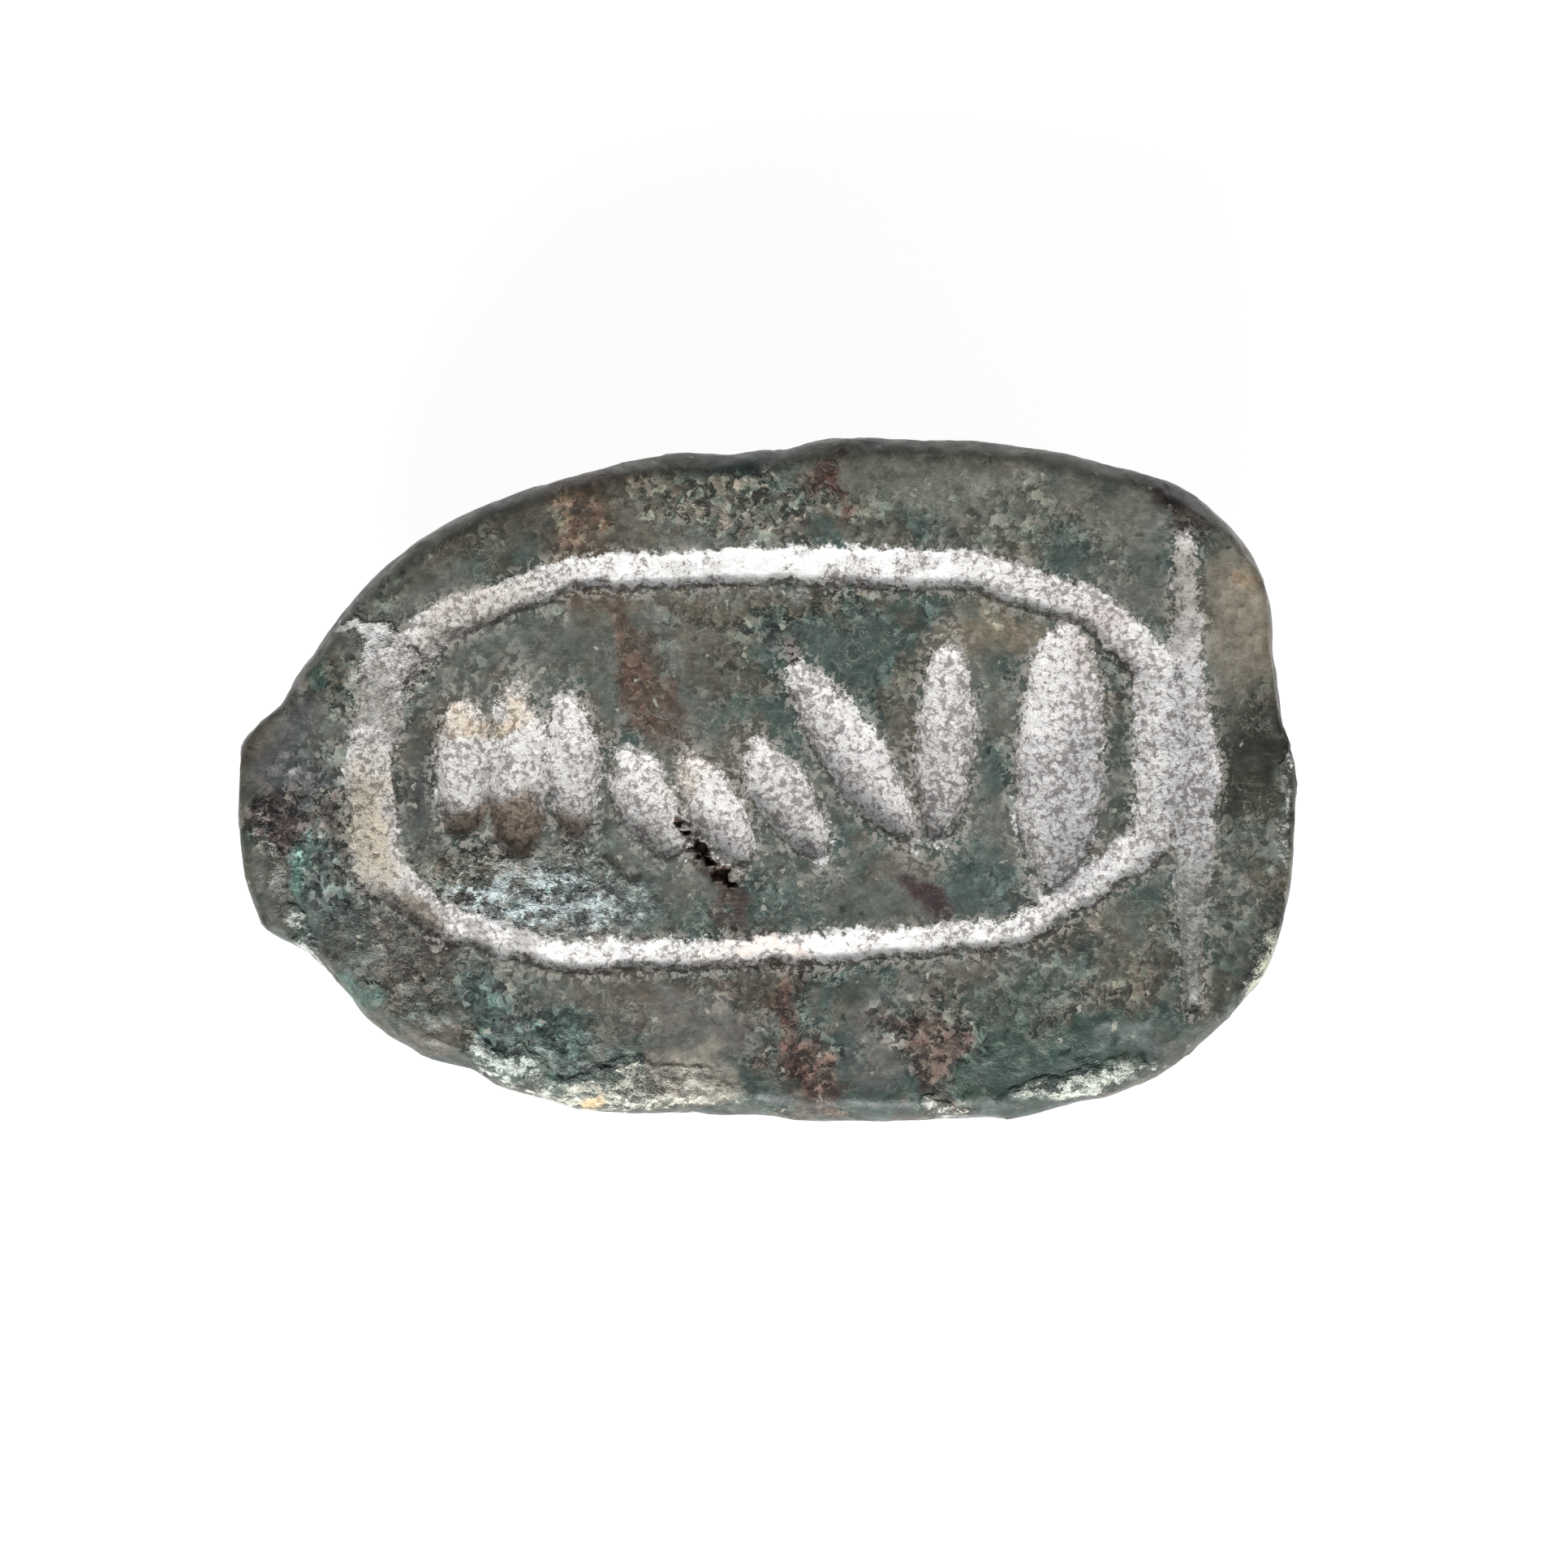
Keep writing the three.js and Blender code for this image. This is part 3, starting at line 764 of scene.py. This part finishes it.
def plus(a, b):
    return add("Math", {0: a, 1: b}, operation="ADD").outputs[0]


def power(value, exponent):
    return add("Math", {0: value, 1: exponent}, operation="POWER").outputs[0]


def swing(value, reach):
    """A value from 0 to 1 as one from minus to plus half the reach."""
    return times(plus(value, -0.5), reach)


def blend(share, under, over):
    return add("Mix", {0: share, 6: under, 7: over}, data_type="RGBA").outputs[2]


def tinted(colour, by):
    return add("Mix", {0: 1.0, 6: colour, 7: by}, data_type="RGBA", blend_type="MULTIPLY").outputs[2]


def lit(colour, factor):
    """A colour made brighter or darker, and never darker than a fifth of itself."""
    held = add("Math", {0: factor, 1: 0.2}, operation="MAXIMUM").outputs[0]
    return add("VectorMath", {0: colour, "Scale": held}, operation="SCALE").outputs[0]


def varied(colour, change):
    """A colour made brighter by a share of itself, or darker where the share is negative."""
    return lit(colour, plus(change, 1.0))


def kept_share(name):
    return add("Attribute", attribute_name=name).outputs["Fac"]


def kept_colour(name):
    return add("Attribute", attribute_name=name).outputs["Color"]


# The place in millimetres, and the same moved a little by cloudy noise, so that what is drawn
# there has crumbled edges.
per_mm = 1 / MM
in_metres = add("TexCoord").outputs["Object"]
in_mm = add("Mapping", {"Vector": in_metres, "Scale": (per_mm, per_mm, per_mm)}).outputs["Vector"]
crumble_reach = (0.35, 0.35, 0.35)
push = add("TexNoise", {"Vector": in_mm, "Scale": 5.0, "Detail": 3.0, "Roughness": 0.7}).outputs["Color"]
centred = add("VectorMath", {0: push, 1: (0.5, 0.5, 0.5)}, operation="SUBTRACT").outputs[0]
scaled = add("VectorMath", {0: centred, 1: crumble_reach}, operation="MULTIPLY").outputs[0]
crumbled = add("VectorMath", {0: in_mm, 1: scaled}, operation="ADD").outputs[0]


def crystals(scale):
    """Two random numbers for each crystal of a mosaic, and the distance from its middle."""
    cells = add("TexVoronoi", {"Vector": crumbled, "Scale": scale})
    parts = add("SeparateColor", {"Color": cells.outputs["Color"]})
    return parts.outputs["Red"], parts.outputs["Green"], cells.outputs["Distance"]


# The stone is a mosaic of crystals. Where it is broken or coarse they differ much in brightness
# and hue, with some of them cream, and elsewhere the polish almost hides them.
reddish = (1.1, 0.96, 0.97, 1)
greenish = (0.82, 1.07, 1.05, 1)
cream = (0.4, 0.38, 0.32, 1)
body = kept_colour("tint")
coarseness = kept_share("coarse")
bright, hue, _ = crystals(6.5)
small_bright, _, _ = crystals(13.0)
powder = mottle(9.0, 4.0, 0.8)
sparkle = plus(times(power(bright, 3.0), 1.7), times(power(small_bright, 2.5), 1.3))
sparkle = plus(sparkle, swing(powder, 1.8))
body = blend(times(coarseness, spread(hue, 0.45, 0.15, 0, 0.8)), body, tinted(body, reddish))
body = blend(times(coarseness, spread(hue, 0.55, 0.85, 0, 0.8)), body, tinted(body, greenish))
body = varied(body, times(plus(sparkle, -0.85), coarseness))
cream_share = times(plus(power(small_bright, 4.0), power(bright, 6.0)), times(coarseness, 0.42))
body = blend(cream_share, body, blend(0.4, lit(body, 2.3), cream))

# The polished stone: faint clouds, fine scratches, worm-like hairs, and pale and dark specks.
# The sides below the base's edge are browner and darker: painted shade of the rounded rim and the sides.
scratch_dust = (0.3, 0.28, 0.22, 1)
pale_hair = (0.3, 0.3, 0.25, 1)
pale_speck = (0.42, 0.42, 0.34, 1)
dark_speck = (0.02, 0.022, 0.017, 1)
painted_side_shade = (0.66, 0.63, 0.58, 1)
grain = mottle(5.0, 6.0, 0.7)
body = varied(body, swing(grain, 2.0))
body = varied(body, swing(mottle(1.6, 5.0, 0.7), 1.5))
drawn_out = {"Vector": in_mm, "Rotation": (0, 0, 0.05), "Scale": (0.9, 14, 3)}
scratches = spread(mottle(1.0, 4.0, 0.7, add("Mapping", drawn_out).outputs["Vector"]), 0.55, 0.68)
scratches = times(scratches, spread(mottle(0.5, 2.0, 0.5), 0.45, 0.6))
body = blend(times(scratches, 0.22), body, scratch_dust)
ridge = add("Math", {0: plus(mottle(2.6, 3.0, 0.6, None, 1.5), -0.5)}, operation="ABSOLUTE").outputs[0]
hairs = times(spread(ridge, 0.022, 0.004), spread(mottle(0.9, 3.0, 0.6), 0.48, 0.58))
body = blend(times(hairs, 0.55), body, pale_hair)
speck_kind, _, speck_off = crystals(3.2)
pale_specks = times(spread(speck_off, 0.2, 0.12), spread(speck_kind, 0.72, 0.76))
body = blend(times(pale_specks, 0.8), body, pale_speck)
dark_specks = times(spread(speck_off, 0.24, 0.12), spread(speck_kind, 0.2, 0.16))
body = blend(times(dark_specks, 0.8), body, dark_speck)
# Painted shade: the rounded rim and the sides are darkened and browned.
body = blend(kept_share("side"), body, tinted(body, painted_side_shade))

# Broken places: pale splinters with dark gaps between them, on the chipped rims and in the ring.
# On the rims that face the lamp and in the rough patch the pale splinters are partly painted glints.
lengthened = {"Vector": crumbled, "Rotation": (0, 0, -0.25), "Scale": (2.2, 5.5, 4.0)}
splinters = mottle(1.0, 5.0, 0.75, add("Mapping", lengthened).outputs["Vector"])
flake_and_glint_share = kept_share("flakes_and_glints")
broken = times(spread(flake_and_glint_share, 0.05, 0.3), 0.85)
body = varied(body, times(times(plus(splinters, -0.5), broken), 6.0))
shown = times(spread(plus(splinters, times(flake_and_glint_share, 0.3)), 0.66, 0.76), spread(flake_and_glint_share, 0.0, 0.2))
# Painted glints on pale chips: the flakes' colour brightened.
pale_flake_glint = lit(kept_colour("flake_and_glint_tint"), plus(times(small_bright, 0.65), 0.52))
body = blend(shown, body, pale_flake_glint)

# The frost in the cuts: bruised white grains with grey gaps, ragged at the edges and scuffed a
# little way past them, on bare walls painted dark brown, partly brown dirt and partly painted
# shade of the steep walls. It is whiter in some places, worn off in others, and tinted by stains
# and a painted shadow.
wall_dirt_and_shade = (0.11, 0.088, 0.064, 1)
scuff_grey = (0.38, 0.36, 0.32, 1)
frost_white = (0.88, 0.86, 0.84)
gap_grey = (0.23, 0.21, 0.22, 1)
gap_brown = (0.32, 0.3, 0.26, 1)
cut = kept_share("cut")
whiteness = kept_share("whiter")
# Painted shade with brown dirt: the bare walls of the cuts are darkened brown.
wall = times(spread(plus(cut, swing(grain, 0.5)), 0.42, 0.5), 0.5)
body = blend(wall, body, wall_dirt_and_shade)
ragged = plus(plus(mottle(6.0, 5.0, 0.8), -0.5), swing(mottle(1.3, 3.0, 0.7), 0.35))
frost = spread(plus(kept_share("frosted"), ragged), 0.46, 0.54)
frost = times(frost, plus(times(kept_share("worn"), -1.0), 1.0))
scuff = times(spread(cut, 0.0, 0.45, 0, 0.8), spread(small_bright, 0.55, 0.7))
body = blend(scuff, body, scuff_grey)
grain_bright, grain_hue, grain_off = crystals(10.0)
gap = plus(plus(times(grain_off, 0.6), powder), times(whiteness, -0.5))
gap = times(spread(gap, 0.68, 0.93), 0.95)
white = lit(frost_white, plus(times(plus(grain_bright, times(whiteness, 2.0)), 0.22), 0.74))
frosted = blend(gap, white, blend(grain_hue, gap_grey, gap_brown))
body = blend(frost, body, tinted(frosted, kept_colour("frost_tint")))

# The pit of the fallen vein is black and dark brown.
pit_black = (0.008, 0.005, 0.004, 1)
pit_brown = (0.09, 0.05, 0.036, 1)
hollow = blend(spread(small_bright, 0.3, 0.6), pit_black, pit_brown)
hollow_share = spread(plus(kept_share("pit"), swing(mottle(7.0, 3.0, 0.7), 0.9)), 0.3, 0.55)
body = blend(hollow_share, body, hollow)
tree.links.new(body, polish.inputs["Base Color"])

# The polish is waxy, duller where it is scratched, and dry in the cuts.
dull = spread(mottle(3.0, 4.0, 0.7), 0.35, 0.65, 0.32, 0.52)
dry = add("Mix", {0: frost, 2: dull, 3: 0.8}, data_type="FLOAT").outputs[0]
tree.links.new(dry, polish.inputs["Roughness"])
polish.inputs["IOR"].default_value = 1.54

# Fine relief: the grain of the stone, the powdery frost, and the broken and rough places.
relief = times(grain, 0.4)
relief = plus(relief, times(times(powder, spread(cut, 0.45, 0.6)), -1.0))
relief = plus(relief, times(times(mottle(4.0, 4.0, 0.75), plus(broken, kept_share("rough"))), 2.0))
bump = add("Bump", {"Strength": 0.8, "Distance": 0.06 * MM, "Height": relief}).outputs["Normal"]
tree.links.new(bump, polish.inputs["Normal"])
stone_data.materials.append(green_stone)
